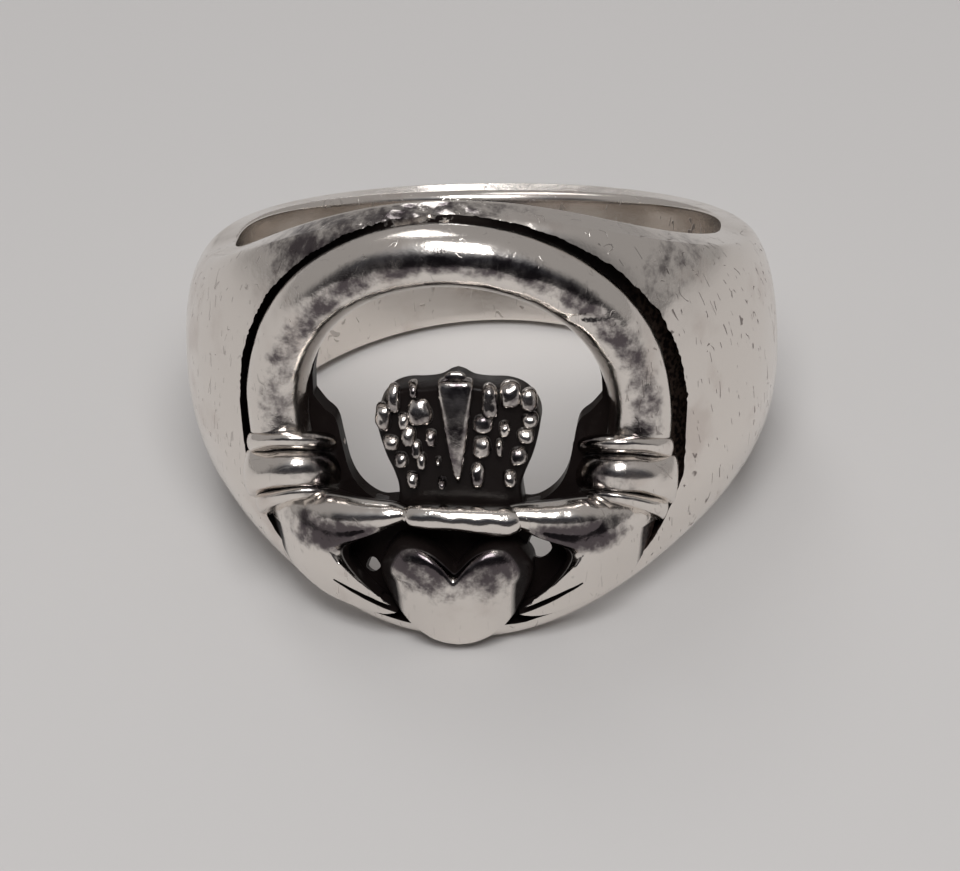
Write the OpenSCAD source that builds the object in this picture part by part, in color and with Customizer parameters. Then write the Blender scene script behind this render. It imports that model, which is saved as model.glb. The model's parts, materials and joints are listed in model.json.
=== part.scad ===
// Claddagh ring, cast in one piece: a domed band with an open arch over two
// hands that hold a crowned heart. It lies on its side, face leaning back.
// Millimetres, +Z up, floor at Z = 0. The face looks toward -Y.
// Inside the modules z runs along the finger, from the band's middle plane.

/* [Finger hole and band] */
// Radius of the finger hole
hole_r = 9.25; // [8:0.05:11]
// Wall left at the rims of the face and the sides
rim_wall = 0.9; // [0.7:0.05:1.4]
// Wall left at the rims of the shank
shank_wall = 1.2; // [0.7:0.05:1.6]
// Drop of the worn upper rim, from the finger hole's edge outward
rim_fall = 0.3; // [0.05:0.05:0.6]
// Rise of the dome over the rims at the face
face_dome = 1.2; // [0.8:0.05:1.6]
// Rise of the dome over the rims at the sides
side_dome = 1.25; // [0.6:0.05:1.8]
// Rise of the dome over the rims at the shank
shank_dome = 0.45; // [0.2:0.05:1]
// Half width of the band at the sides
side_half = 4.2; // [3:0.1:5]
// Height of the shank above the middle plane
shank_top = 3.1; // [1.5:0.05:4]
// Depth of the shank below the middle plane
shank_low = 2.75; // [1.5:0.05:4]

/* [Arch and window] */
// Wall left under the sunk ground
ground_wall = 0.8; // [0.6:0.05:1.1]
// Height of the arch's centre above the middle plane
arch_z = 0.45; // [0:0.05:1.5]
// Radius of the arch along its middle line
arch_r = 6.65; // [5.5:0.05:7.5]
// Radius of the arch's round bar
bar_r = 1.15; // [0.8:0.05:1.3]
// Width of the groove around the arch
groove = 0.4; // [0.2:0.05:0.7]
// Ledge between the arch's legs and the window
ledge = 0.15; // [0.05:0.05:0.6]
// Strip between the arch and the upper rim
top_strip = 0.45; // [0.3:0.05:1.2]
// Turn of the arch and the hands around the finger, away from the crown
askew = -1.1; // [-3:0.1:3]

/* [Cuffs and hands] */
// How far a cuff reaches past the arch's bar, to each side
cuff_lap = 0.9; // [0.5:0.05:1.3]
// Height of a cuff's thick band over its root
cuff_rise = 2; // [1.4:0.05:2.4]
// Half width of a palm
palm_half = 1.35; // [1:0.05:1.6]
// Height of a hand over its root
hand_rise = 1.65; // [1.1:0.05:2]

/* [Crown and heart] */
// Depth of the crown's foot below the middle plane
crown_foot = 2.65; // [2:0.05:3.2]
// Height of the crown's plate from its foot
crown_h = 5.05; // [4:0.05:5.6]
// Half width of the crown's plate
crown_half = 2.95; // [2.2:0.05:3.3]
// How far the plate stands out of the ground
crown_rise = 0.6; // [0.3:0.05:1]
// Height of the wedge in the middle of the plate
wedge_rise = 0.6; // [0.3:0.05:0.9]
// How far the beads stand out of the plate
bead_rise = 0.42; // [0.2:0.02:0.7]
// Half width of the bar at the crown's foot
foot_half = 0.36; // [0.25:0.01:0.5]
// Height of this bar over the ground
foot_rise = 1.6; // [1:0.05:2]
// From the crown's foot down to the heart's lobes
heart_gap = 1.15; // [0.8:0.05:1.6]
// Height of the heart
heart_h = 4.05; // [3.4:0.05:4.6]
// Half width of the heart
heart_half = 2.9; // [2:0.05:3.2]
// How far the heart puffs out of the ground
heart_rise = 1.75; // [1:0.05:2.2]
// Strip between the heart's tip and the lower rim
low_strip = 0.15; // [0.1:0.05:1]
// Radius of the larger casting hole, on the right
pore_r = 0.4; // [0.2:0.05:0.6]

/* [Hidden] */

ground_r = hole_r + ground_wall;
plate_r = ground_r + crown_rise;
reach = arch_r + bar_r;
field_half = reach + groove;
window_half = arch_r - bar_r - ledge;
wrist_h = arch_z + crown_foot;
hand_h = heart_gap + heart_h + low_strip;
face_top = arch_z + reach + top_strip;
face_low = crown_foot + hand_h;
// Relief starts a little inside the wall, so that it is one with the band
sink = 0.15;
root_r = ground_r - sink;
core_r = hole_r - 4 * sink;

// Height in the tables: 0 at the crown's foot, 1 at the arch's centre and -1
// at the lower rim
function level(s) = -crown_foot + s * (s > 0 ? wrist_h : hand_h);

// Around the band, at angle a from the middle of the face
function blend(a, at_face, at_side, at_back, p) =
    at_side + (cos(a) > 0 ? (at_face - at_side) * pow(cos(a), p)
                          : (at_back - at_side) * pow(-cos(a), 1.6));
function rim_top(a) = blend(a, face_top, side_half, shank_top, 1.8);
function rim_low(a) = blend(a, face_low, side_half, shank_low, 2.4);
function rim_r(a) = hole_r + blend(a, rim_wall, rim_wall, shank_wall, 1);
function dome(a) = blend(a, face_dome, side_dome, shank_dome, 2);

// Across the band, s from -1 at the lower rim to 1 at the upper
dome_steps = 6;
across = [for (i = [-dome_steps : dome_steps]) sin(90 * i / dome_steps)];
function skin_r(a, s) = rim_r(a) + dome(a) * pow(1 - pow(abs(s), 2.4), 0.6);
function skin_z(a, s) = s * (s > 0 ? rim_top(a) - rim_fall : rim_low(a));

// Shells of the puffed heart. Row: share of its size, share of its rise.
// Its outline is 29 units high, 10 over the shells' middle and 19 under it
heart_shells = [[1, 0.25], [0.97, 0.6], [0.88, 0.8], [0.72, 0.92], [0.45, 0.98], [0.15, 1]];
unit = heart_h / 29;
heart_z = -crown_foot - heart_gap - 10 * unit;

// The ring leans back until its lower rim touches at the face and at the back
lean = atan2(face_low - shank_low, 2 * hole_r + shank_wall);
lift = face_low * cos(lean) - hole_r * sin(lean);
// Shifted so that the leaning heart and shank are equally far from Y = 0
front = max([for (w = heart_shells)
    (ground_r + heart_rise * w[1]) * cos(lean) - (heart_z - 19 * unit * w[0]) * sin(lean)]);
back = max([for (s = across) skin_r(180, s) * cos(lean) + skin_z(180, s) * sin(lean)]);
shift = (front - back) / 2;

// A point at angle a round the finger, and one of the face, x across it
function around(a, r, z) = [r * sin(a), -r * cos(a), z];
function on_face(x, z, r) = [x, -sqrt(r * r - x * x), z];

// Smooth in-between rows of a table, k to each step
function spline(p, q, r, s, t) =
    (2 * q + (r - p) * t + (2 * p - 5 * q + 4 * r - s) * t * t
     + (3 * q - p - 3 * r + s) * t * t * t) / 2;
function row(rows, i) = rows[max(0, min(len(rows) - 1, i))];
function refine(rows, k) = [
    for (i = [0 : len(rows) - 2], j = [0 : k - 1])
        spline(row(rows, i - 1), rows[i], rows[i + 1], row(rows, i + 2), j / k),
    rows[len(rows) - 1]];

// Right half of an outline, top to bottom, closed by its mirror image
function both_halves(half) = concat(half,
    [for (i = [len(half) - 1 : -1 : 0]) if (half[i][0] > 0.001) [-half[i][0], half[i][1]]]);

// Straight cut or block through the face, seen from the front
module prism(outline) {
    rotate([90, 0, 0]) linear_extrude(height = 2 * hole_r) polygon(outline);
}

// Solid between closed sections that all have the same number of points
module skin(sections) {
    m = len(sections);
    n = len(sections[0]);
    points = [for (s = sections, p = s) p];
    walls = [for (i = [0 : m - 2], j = [0 : n - 1]) let (k = (j + 1) % n)
        each [[i * n + k, i * n + j, (i + 1) * n + j],
              [(i + 1) * n + k, i * n + k, (i + 1) * n + j]]];
    start = [for (j = [1 : n - 2]) [0, j, j + 1]];
    end = [for (j = [1 : n - 2]) [(m - 1) * n, (m - 1) * n + j + 1, (m - 1) * n + j]];
    polyhedron(points, concat(start, walls, end), convexity = 6);
}

// Rounded strand on the face, its middle line r from the finger hole's axis.
// Row: x, z, half width, height
module strand(rows, r, n) {
    at = [for (w = rows) on_face(w[0], w[1], r)];
    skin([for (i = [0 : len(rows) - 1])
        let (w = rows[i],
             out = [w[0], -sqrt(r * r - w[0] * w[0]), 0] / r,
             run = row(at, i + 1) - row(at, i - 1),
             side = cross(out, run) / norm(cross(out, run)))
        [for (j = [0 : n - 1]) let (a = 360 * j / n)
            at[i] + side * w[2] * cos(a) + out * w[3] * sin(a)]]);
}

// Plain domed band, solid through the middle
module band_blank() {
    turns = 72;
    n = len(across) + 2;
    slope = rim_fall / rim_wall * (hole_r - core_r);
    points = [
        for (k = [0 : turns - 1]) let (a = 360 * k / turns) each [
            around(a, core_r, -rim_low(a)),
            for (s = across) around(a, skin_r(a, s), skin_z(a, s)),
            around(a, core_r, rim_top(a) + slope)],
        [0, 0, -side_half],
        [0, 0, side_half]];
    base = turns * n;
    walls = [for (k = [0 : turns - 1], i = [0 : n - 2]) let (l = (k + 1) % turns)
        each [[k * n + i, k * n + i + 1, l * n + i],
              [l * n + i, k * n + i + 1, l * n + i + 1]]];
    lids = [for (k = [0 : turns - 1]) let (l = (k + 1) % turns)
        each [[base, k * n, l * n], [base + 1, l * n + n - 1, k * n + n - 1]]];
    polyhedron(points, concat(walls, lids), convexity = 8);
}

// Sunk field that holds the relief: round under the arch, then along the hands.
// Row: x as a share of the field's half width, level
field_rows = [[0.994, 0.565], [0.982, 0.145], [0.927, -0.159], [0.854, -0.383],
              [0.744, -0.57], [0.585, -0.729], [0.341, -0.85], [0, -0.925]];
module field() {
    half = concat(
        [for (a = [90 : -7.5 : 0]) [field_half * cos(a), arch_z + field_half * sin(a)]],
        refine([for (w = field_rows) [w[0] * field_half, level(w[1])]], 2));
    difference() {
        prism(both_halves(half));
        cylinder(r = ground_r, h = 4 * face_top, center = true, $fn = 120);
    }
}

// Window inside the arch, its foot beside the cuffs and over the thumbs.
// Row: x as a share of the window's half width, level
window_rows = [[0.991, 1.145], [0.916, 1.016], [0.832, 0.903], [0.794, 0.629], [0.757, 0.339],
               [0.701, 0.145], [0.617, 0.016], [0.514, -0.028], [0.374, -0.009], [0, 0]];
module window() {
    sill = level(1.16);
    rise = arch_z + arch_r - bar_r - sill;
    half = concat(
        [for (a = [90 : -9 : 9]) [window_half * cos(a), sill + rise * sin(a)]],
        refine([for (w = window_rows) [w[0] * window_half, level(w[1])]], 2));
    prism(both_halves(half));
}

// Round bar of the arch, from wrist to wrist
module arch() {
    strand([for (a = [-10 : 8 : 190]) [arch_r * cos(a), arch_z + arch_r * sin(a), bar_r, bar_r]],
           ground_r + bar_r / 2, 18);
}

// Bands of a cuff: thin, thick and thin. Row: x as a share of the reach, level,
// share of the half length, half thickness to the wrist's height, share of the rise
cuff_rows = [[0.782, 0.677, 0.976, 0.116, 0.875],
             [0.769, 0.29, 1, 0.245, 1],
             [0.731, -0.065, 0.902, 0.103, 0.875]];
// Each band is rounded off toward its edges. Row: height, share of the section
cuff_edges = [[-1, 0.84], [-0.7, 0.95], [0, 1], [0.7, 0.95], [1, 0.84]];
cuff_tilt = 14;
module cuff() {
    depth = sink + 0.8 * ground_wall;
    function bow(v) = sign(v) * pow(abs(v), 0.75);
    for (w = cuff_rows) {
        long = w[2] * (bar_r + cuff_lap);
        rotate([0, 0, asin(w[0] * reach / root_r)]) translate([0, -root_r, level(w[1])])
            rotate([cuff_tilt, cuff_tilt, 0]) skin([for (s = cuff_edges)
                [for (a = [0 : 12 : 359])
                    [long * s[1] * bow(cos(a)),
                     (a < 180 ? depth : w[4] * cuff_rise) * s[1] * bow(sin(a)),
                     w[3] * wrist_h * s[0]]]]);
    }
}

// Hand: palm that runs into the fingers, thumb, and the slit between two fingers.
// Row: x as a share of the reach, level, share of the palm's half width, share of the rise
palm_rows = [[0.705, -0.047, 0.963, 0.727], [0.692, -0.178, 1, 0.909], [0.673, -0.318, 1, 1],
             [0.641, -0.458, 0.852, 0.97], [0.564, -0.607, 0.63, 0.879], [0.462, -0.705, 0.444, 0.788],
             [0.34, -0.757, 0.326, 0.697], [0.256, -0.779, 0.267, 0.576]];
thumb_rows = [[0.705, -0.178, 0.667, 0.788], [0.59, -0.14, 0.556, 0.939], [0.474, -0.093, 0.37, 0.97],
              [0.372, -0.062, 0.244, 0.939], [0.282, -0.05, 0.185, 0.848], [0.218, -0.047, 0.148, 0.667]];
slit_rows = [[0.59, -0.533, 0.037, 0.182], [0.462, -0.645, 0.067, 0.424],
             [0.333, -0.72, 0.081, 0.485], [0.231, -0.766, 0.081, 0.485]];
function hand_rows(rows) =
    [for (w = rows) [w[0] * reach, level(w[1]), w[2] * palm_half, w[3] * hand_rise]];
module hand() {
    difference() {
        union() {
            strand(refine(hand_rows(palm_rows), 2), root_r, 14);
            strand(refine(hand_rows(thumb_rows), 2), root_r, 12);
        }
        strand(hand_rows(slit_rows), root_r + 0.636 * hand_rise, 6);
    }
}

// Puffed heart, its shells drawn toward its middle
module heart() {
    turns = 40;
    function edge_x(a) = -heart_half * sin(a) * pow(abs(sin(a)), 0.7);
    function edge_z(a) = unit * (13 * cos(a) - 5 * cos(2 * a) - 2 * cos(3 * a) - cos(4 * a) - 2);
    function shell(size, r) = [for (k = [0 : turns - 1]) let (a = 360 * k / turns)
        on_face(edge_x(a) * size, heart_z + edge_z(a) * size, r)];
    skin([shell(1, root_r - sink),
          for (w = heart_shells) shell(w[0], ground_r + heart_rise * w[1])]);
}

// Crown. Rows: shares of the plate's half width and of its height over the foot
crown_rows = [[0, 1], [0.169, 0.96], [0.373, 0.925], [0.61, 0.911], [0.797, 0.861], [0.942, 0.762],
              [1, 0.644], [0.969, 0.515], [0.898, 0.376], [0.803, 0.248], [0.753, 0.129], [0.78, -0.03]];
// Wedge down the middle. Row: height, half width, share of the wedge's rise
wedge_rows = [[1.004, 0.169, 0.583], [0.97, 0.237, 1], [0.723, 0.169, 0.867],
              [0.485, 0.112, 0.8], [0.297, 0.051, 0.633], [0.218, 0.017, 0.333]];
// Columns of beads. Row: x and height of the top bead, of the low bead, count,
// half width of the top bead and of the low bead
bead_rows = [[0.881, 0.792, 0.637, 0.198, 5, 0.115, 0.102], [0.654, 0.822, 0.502, 0.436, 3, 0.136, 0.061],
             [0.407, 0.782, 0.237, 0.248, 4, 0.136, 0.095], [-0.847, 0.782, -0.583, 0.188, 5, 0.115, 0.095],
             [-0.661, 0.644, -0.407, 0.297, 4, 0.088, 0.075], [-0.441, 0.713, -0.21, 0.188, 4, 0.163, 0.058]];
function crown_z(s) = -crown_foot + s * crown_h;
module crown() {
    bed_r = plate_r - 0.4 * sink;
    intersection() {
        prism(both_halves(refine([for (w = crown_rows) [w[0] * crown_half, crown_z(w[1])]], 2)));
        difference() {
            cylinder(r = plate_r, h = 4 * face_top, center = true, $fn = 120);
            cylinder(r = core_r, h = 5 * face_top, center = true, $fn = 40);
        }
    }
    strand([for (w = wedge_rows) [0, crown_z(w[0]), w[1] * crown_half, w[2] * wedge_rise]], bed_r, 8);
    for (w = bead_rows, i = [0 : w[4] - 1]) {
        t = i / (w[4] - 1);
        x = w[0] + (w[2] - w[0]) * t;
        half = (w[5] + (w[6] - w[5]) * t) * crown_half;
        translate(on_face(x * crown_half, crown_z(w[1] + (w[3] - w[1]) * t), bed_r))
            scale([half, bead_rise, half * 1.1]) sphere(r = 1, $fn = 10);
    }
}

// Bar at the crown's foot, a little askew. Row: x as a share of the crown's half
// width, height and half width to the bar's half width, share of the bar's rise
foot_rows = [[-0.685, 0.139, 0.417, 0.438], [-0.61, 0.083, 0.889, 0.625], [0, -0.083, 1, 0.656],
             [0.508, -0.611, 1.167, 0.656], [0.712, -0.278, 0.472, 0.438]];
module foot_bar() {
    strand(refine([for (w = foot_rows)
               [w[0] * crown_half, w[1] * foot_half - crown_foot, w[2] * foot_half, w[3] * foot_rise]], 2),
           ground_r + 0.344 * foot_rise, 12);
}

// Casting holes beside the heart. Row: x as a share of the reach, level, share
// of the larger hole's radius
pore_rows = [[0.353, -0.346, 1], [-0.436, -0.514, 0.5]];
module pores() {
    for (w = pore_rows)
        translate([w[0] * reach, 0, level(w[1])]) rotate([90, 0, 0])
            cylinder(r = w[2] * pore_r, h = 2 * hole_r, $fn = 12);
}

// Band and relief as one casting, as wide as its domed sides
module casting() {
    resize([2 * (hole_r + rim_wall + side_dome), 0, 0]) union() {
        difference() {
            band_blank();
            rotate([0, 0, askew]) {
                field();
                window();
            }
            pores();
        }
        crown();
        foot_bar();
        heart();
        rotate([0, 0, askew]) {
            arch();
            for (side = [0, 1]) mirror([side, 0, 0]) {
                cuff();
                hand();
            }
        }
    }
}

module ring() {
    color([0.78, 0.77, 0.75])
        translate([0, shift, lift]) rotate([-lean, 0, 0]) difference() {
            casting();
            cylinder(r = hole_r, h = 4 * face_top, center = true, $fn = 96);
        }
}

ring();
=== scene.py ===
import json
import bmesh
import bpy
import numpy as np
from mathutils import Matrix, Vector


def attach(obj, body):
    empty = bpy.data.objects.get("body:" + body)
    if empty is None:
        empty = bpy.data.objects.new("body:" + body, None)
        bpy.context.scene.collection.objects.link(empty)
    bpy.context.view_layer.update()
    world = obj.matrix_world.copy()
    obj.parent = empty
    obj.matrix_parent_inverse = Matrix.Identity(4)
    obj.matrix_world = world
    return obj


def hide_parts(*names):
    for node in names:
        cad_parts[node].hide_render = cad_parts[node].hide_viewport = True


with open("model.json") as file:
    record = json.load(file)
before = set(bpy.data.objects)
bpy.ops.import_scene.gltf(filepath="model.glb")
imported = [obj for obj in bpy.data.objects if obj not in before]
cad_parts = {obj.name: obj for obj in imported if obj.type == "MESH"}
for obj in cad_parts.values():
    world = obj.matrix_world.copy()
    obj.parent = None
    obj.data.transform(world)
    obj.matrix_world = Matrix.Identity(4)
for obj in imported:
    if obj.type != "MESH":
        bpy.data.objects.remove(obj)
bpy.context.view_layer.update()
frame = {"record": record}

# Band. The whole ring is one casting in sterling silver, and the band is its domed wall,
# wide at the face and narrow at the back. It was polished and is worn from years on a finger.

# Sizes are in millimetres in the ring's own frame: x across the face, y from the axis of the
# finger hole with the face at -y, z along the finger. Its mount says how the ring lies. The
# ground is the floor of the sunk field, and the arch's bar is arch_bar thick to each side.
finger_hole = frame["record"]["mounts"][0]
hole_r = finger_hole["dims"]["r_mm"]
lean_sin, lean_cos = finger_hole["axis"][1:]
hole_middle = np.array(finger_hole["pos_m"])
ground_r = hole_r + 0.8
arch_z, arch_r, arch_bar = 0.45, 6.65, 1.15
reach = arch_r + arch_bar

# Sizes round the band: at the face, the sides and the back, and the power that the face's
# size fades by. Top and low are the rims' heights, fall the drop of the upper rim's slope,
# worn the rounding of its inner edge and edge_ease that of the lower one. On the right the
# upper rim has a crest.
band_sizes = {
    "top": (8.7, 4.2, 2.84, 1.8),
    "low": (8.0, 4.2, 2.75, 2.4),
    "fall": (0.3, 0.3, 0.0, 1),
    "wall": (0.9, 0.9, 1.2, 1),
    "dome": (1.2, 1.25, 0.45, 2),
    "worn": (0.12, 0.12, 0.5, 1),
}
edge_ease = 0.12
crest_h, crest_at, crest_wide = 0.5, 1.3, 0.5


def around(name, a):
    """A size of the band at the angle a: the side's value, changed towards the face by
    cos(a) to the power p and towards the back by -cos(a) to the power 1.6."""
    face, side, back, p = band_sizes[name]
    c = np.cos(a)
    return side + np.where(c > 0, (face - side) * np.abs(c) ** p, (back - side) * np.abs(c) ** 1.6)


def domed(s):
    """Rise of the dome over its width s from -1 to 1: (1 - |s|^2.4)^0.6."""
    return np.abs(1 - np.abs(s) ** 2.4) ** 0.6


def bent(p, q, r, n):
    """Rounded corner: the parabola from p to r that heads for q, in n steps."""
    t = np.linspace(0, 1, n)[:, None, None]
    return (1 - t) ** 2 * p + 2 * t * (1 - t) * q + t**2 * r


def between(p, q, n):
    """Points of the straight line from p to q without its ends, in n steps."""
    t = np.linspace(0, 1, n)[1:-1, None, None]
    return p * (1 - t) + q * t


def ripple(p, size, seed):
    """Unevenness of a hand-finished casting, from -1 to 1: crossed sine waves about `size` long."""
    way = np.random.default_rng(seed).normal(size=(7, 4))
    way[:, :3] /= np.linalg.norm(way[:, :3], axis=1)[:, None]
    phase = p @ way[:, :3].T * (2 * np.pi / size) * (1 + 0.25 * way[:, 3]) + way[:, 3] * 9
    return np.sin(phase).sum(-1) / 4


def cast_lumps(p, seed, *waves):
    """Lumps of the casting: the sum of height times ripple for each (height, size), with the
    seeds counted up from the first."""
    return sum(height * ripple(p, size, seed + i) for i, (height, size) in enumerate(waves))


def by_groove(p, wide, far):
    """Share of the torn skin beside the groove, upper left: exp(-((x + 2) / wide)^4) times
    exp(-(d / far)^4), where d is the distance from the groove's outer edge."""
    off = np.hypot(p[..., 0], p[..., 2] - arch_z) - reach - 0.45
    share = np.exp(-((p[..., 0] + 2.0) / wide) ** 4 - (off / far) ** 4)
    return share * (p[..., 2] > 3.5) * (p[..., 1] < 0)


def band_grid(turns=480, domes=56):
    """Wall of the band: a closed profile (radius, height) for each angle round the finger. Its
    dome is wall + dome (1 - |s|^2.4)^0.6 over its width s, the upper rim slopes off outward,
    and both edges of the hole are rounded, the upper one more at the back. The casting's
    lumps push the skin in and out, most beside the groove and up on the upper rim."""
    a = np.linspace(0, 2 * np.pi, turns, endpoint=False)
    top, low, fall, worn = (around(name, a) for name in ("top", "low", "fall", "worn"))
    top = top + crest_h * np.exp(-(((a - crest_at) / crest_wide) ** 2))
    rim, hole = hole_r + around("wall", a), np.full(turns, hole_r)
    s = np.sin(np.linspace(-np.pi / 2, np.pi / 2, domes))[:, None]
    outer = np.stack([rim + around("dome", a) * domed(s), s * np.where(s > 0, top - fall, low)], -1)

    def at(r, z):
        """One row of the profile: the radius r and height z at every angle."""
        return np.stack([r, z], -1)[None]

    slope = between(at(rim, top - fall), at(hole + worn, top - edge_ease / 3), 12)
    upper = bent(at(hole + worn, top - edge_ease / 3), at(hole, top), at(hole, top - worn), 8)
    lower = bent(at(hole, -low + edge_ease), at(hole, -low), at(hole + edge_ease, -low), 6)
    inner = between(at(hole, top - worn), at(hole, -low + edge_ease), 18)
    profile = np.concatenate([outer, slope, upper, inner, lower])
    r, z = profile[..., 0], profile[..., 1]
    p = np.stack([r * np.sin(a), -r * np.cos(a), z], -1)

    skin = np.clip((r - hole_r - 0.5) / 0.5, 0, 1)
    push = cast_lumps(p, 3, (0.018, 5.0), (0.006, 1.6))
    torn = 0.07 * ripple(p * [1, 1, 0.3], 0.7, 5) + 0.05 * ripple(p, 0.3, 6)
    push = push + by_groove(p, 4.2, 0.45) * torn
    p = p * (1 + (skin * push / r)[..., None] * [1, 1, 0])
    lumpy = np.exp(-((p[..., 0] + 0.3) / 3.8) ** 4) * np.clip((p[..., 2] - 7.7) / 0.3, 0, 1)
    lumpy = lumpy * (p[..., 1] < 0) * np.clip((r - hole_r - 0.15) / 0.2, 0, 1)
    lumps = cast_lumps(p, 5, (0.05, 0.8), (0.03, 0.4)) - 0.03
    return p + (lumpy * lumps)[..., None] * [0, 0, 1]


def mesh_of(name, grids, loop=(False, True)):
    """Closed surface of one or more grids of points, rows u by columns v, as quads. Columns
    join round, rows too where loop says so, and points that meet at a pole are merged."""
    points, faces, base = [], [], 0
    for g in grids:
        nu, nv = g.shape[:2]
        i = np.arange(nu if loop[0] else nu - 1)[:, None]
        j = np.arange(nv if loop[1] else nv - 1)[None]
        k, l = (i + 1) % nu, (j + 1) % nv
        quads = np.stack([i * nv + j, k * nv + j, k * nv + l, i * nv + l], -1)
        faces.append(quads.reshape(-1, 4) + base)
        points.append(g.reshape(-1, 3))
        base += nu * nv
    mesh = bpy.data.meshes.new(name)
    mesh.from_pydata(np.concatenate(points), [], np.concatenate(faces).tolist())
    bm = bmesh.new()
    bm.from_mesh(mesh)
    bmesh.ops.remove_doubles(bm, verts=bm.verts, dist=1e-5)
    bmesh.ops.recalc_face_normals(bm, faces=bm.faces)
    bm.to_mesh(mesh)
    bm.free()
    return mesh


def linked(mesh):
    """An object for the mesh, in the scene."""
    piece = bpy.data.objects.new(mesh.name, mesh)
    bpy.context.scene.collection.objects.link(piece)
    return piece


band = linked(mesh_of("band", [band_grid()], loop=(True, True)))

# The sunk field and the window are cut into the band, and so are two small casting holes in
# the dark pockets beside the heart, the right one larger. The whole figure was cast a little
# askew. The blocks that cut it end at past_face, outside the skin.
crown_foot, hand_h = 2.65, 5.35
wrist_h = arch_z + crown_foot
askew = np.radians(-1.1)
past_face = 14


def level(s):
    """Height from a table's level s: 0 is the crown's foot, 1 is the arch's centre, wrist_h
    above it, and -1 is the lower rim, hand_h below it."""
    s = np.asarray(s, float)
    return -crown_foot + s * np.where(s > 0, wrist_h, hand_h)


def on_face(x, z, r):
    """Point of the face at the distance r from the hole's axis: y = -sqrt(r r - x x)."""
    return np.stack([x, -np.sqrt(r * r - x * x), z + 0 * x], -1)


def turned(p, a):
    """Points turned by a around the finger: x' = x cos - y sin, y' = x sin + y cos."""
    x = p[..., 0] * np.cos(a) - p[..., 1] * np.sin(a)
    y = p[..., 0] * np.sin(a) + p[..., 1] * np.cos(a)
    return np.stack([x, y, p[..., 2]], -1)


def through(rows, n):
    """Smooth curve through a table's rows, n steps to each: the Catmull-Rom cubic in t."""
    w = np.array(rows, float)
    t = np.linspace(0, len(w) - 1, n * (len(w) - 1) + 1)
    i = np.minimum(t.astype(int), len(w) - 2)
    t = (t - i)[:, None]
    p, q, r, s = (w[np.clip(i + k, 0, len(w) - 1)] for k in (-1, 0, 1, 2))
    return (2 * q + (r - p) * t + (2 * p - 5 * q + 4 * r - s) * t**2
            + (3 * q - p - 3 * r + s) * t**3) / 2


def arc_over(half, height, base, first, step):
    """Quarter of an ellipse from straight up down to the angle `first`, in degrees."""
    a = np.radians(np.arange(90, first - 0.1, -step))
    return np.stack([half * np.cos(a), base + height * np.sin(a)], -1)


def plug(rows, half, centre, radii, spread, arc, left_share=1.0, floor_grain=0.0):
    """Block through the face in the shape of an outline. Its right half is an arc over the
    centre, then the table's rows, and the left half mirrors it, its width times left_share.
    The faces at the first and last radius are the outline drawn in towards the centre, and
    `spread` widens the outline by that much at each radius. Grain roughens floor and edge."""
    side = through([[w[0] * half, level(w[1])] for w in rows], 8)
    right = np.concatenate([arc, side])
    right = right[np.append(True, np.linalg.norm(np.diff(right, axis=0), axis=1) > 0.02)]
    left = right[1:-1][::-1] * [-left_share, 1]
    edge = np.concatenate([right, left]) - [0, centre]
    if floor_grain:
        across = np.concatenate([edge[:, :1], edge[:, 1:], 0 * edge[:, :1]], 1)
        wave = cast_lumps(across, 13, (1, 1.1), (1, 0.47), (0.8, 0.21))
        edge = edge * (1 + 0.024 * wave / np.linalg.norm(edge, axis=1))[:, None]
    steps = [(q, radii[0], 0) for q in (0, 0.2, 0.4, 0.6, 0.75, 0.88, 0.96)]
    steps += [(1, r, w) for r, w in zip(radii, spread)]
    steps += [(q, radii[-1], spread[-1]) for q in (0.5, 0)]
    length = np.linalg.norm(edge, axis=1, keepdims=True)
    rows_of = []
    for q, r, w in steps:
        flat = edge * (1 + w / length) * q
        p = on_face(flat[:, 0], flat[:, 1] + centre, r)
        if r == radii[0] and floor_grain:
            grain = cast_lumps(p, 11, (1, 0.5), (1, 0.23))
            p = p * (1 + floor_grain / r * grain[:, None] * [1, 1, 0])
        rows_of.append(p)
    return turned(np.array(rows_of), askew)


# Outlines below the arch, as shares of the half width and levels
field_half = reach + 0.4
field_rows = [[0.994, 0.565], [0.982, 0.145], [0.927, -0.159], [0.854, -0.383],
              [0.744, -0.57], [0.585, -0.729], [0.341, -0.85], [0, -0.925]]
window_half = arch_r - arch_bar - 0.15
window_rows = [[0.991, 1.145], [0.916, 1.016], [0.832, 0.903], [0.794, 0.629], [0.757, 0.339],
               [0.701, 0.145], [0.617, 0.016], [0.514, -0.028], [0.374, -0.009], [0, 0]]
window_sill = float(level(1.16))
window_top = arch_z + arch_r - arch_bar
cuts = {
    "field": plug(field_rows, field_half, 0.0, [ground_r, 10.5, 10.8, 11.2, past_face],
                  [0, 0.02, 0.05, 0.12, 0.2], arc_over(field_half, reach + 0.14, arch_z, 0, 0.5),
                  (reach + 0.2) / field_half, 0.016),
    "window": plug(window_rows, window_half, 0.5, [8.4, hole_r, ground_r, past_face], [0, 0, 0, 0],
                   arc_over(window_half, window_top - window_sill, window_sill, 9, 3)),
}

# Casting holes: x, z, radius. They slant down into the metal, from above the skin.
pore_rows = [[2.75, -4.5, 0.45], [-3.4, -5.4, 0.27]]
pore_slant, pore_in, pore_out = np.radians(22), 1.9, 2.2
pores = []
for x, z, r in pore_rows:
    a = np.linspace(0, 2 * np.pi, 24, endpoint=False)
    ring_of = np.stack([r * np.cos(a) * (1 + 0.12 * np.sin(3 * a + x)), 0 * a,
                        r * np.sin(a) * (1 + 0.10 * np.cos(2 * a + x))], -1)
    core = on_face(np.array(x), np.array(z), ground_r)
    out = np.array([0, -np.cos(pore_slant), np.sin(pore_slant)])
    pores.append(np.array([core + ring_of * q + out * d
                           for q, d in ((0, -pore_in), (1, -pore_in), (1, pore_out), (0, pore_out))]))

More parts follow.
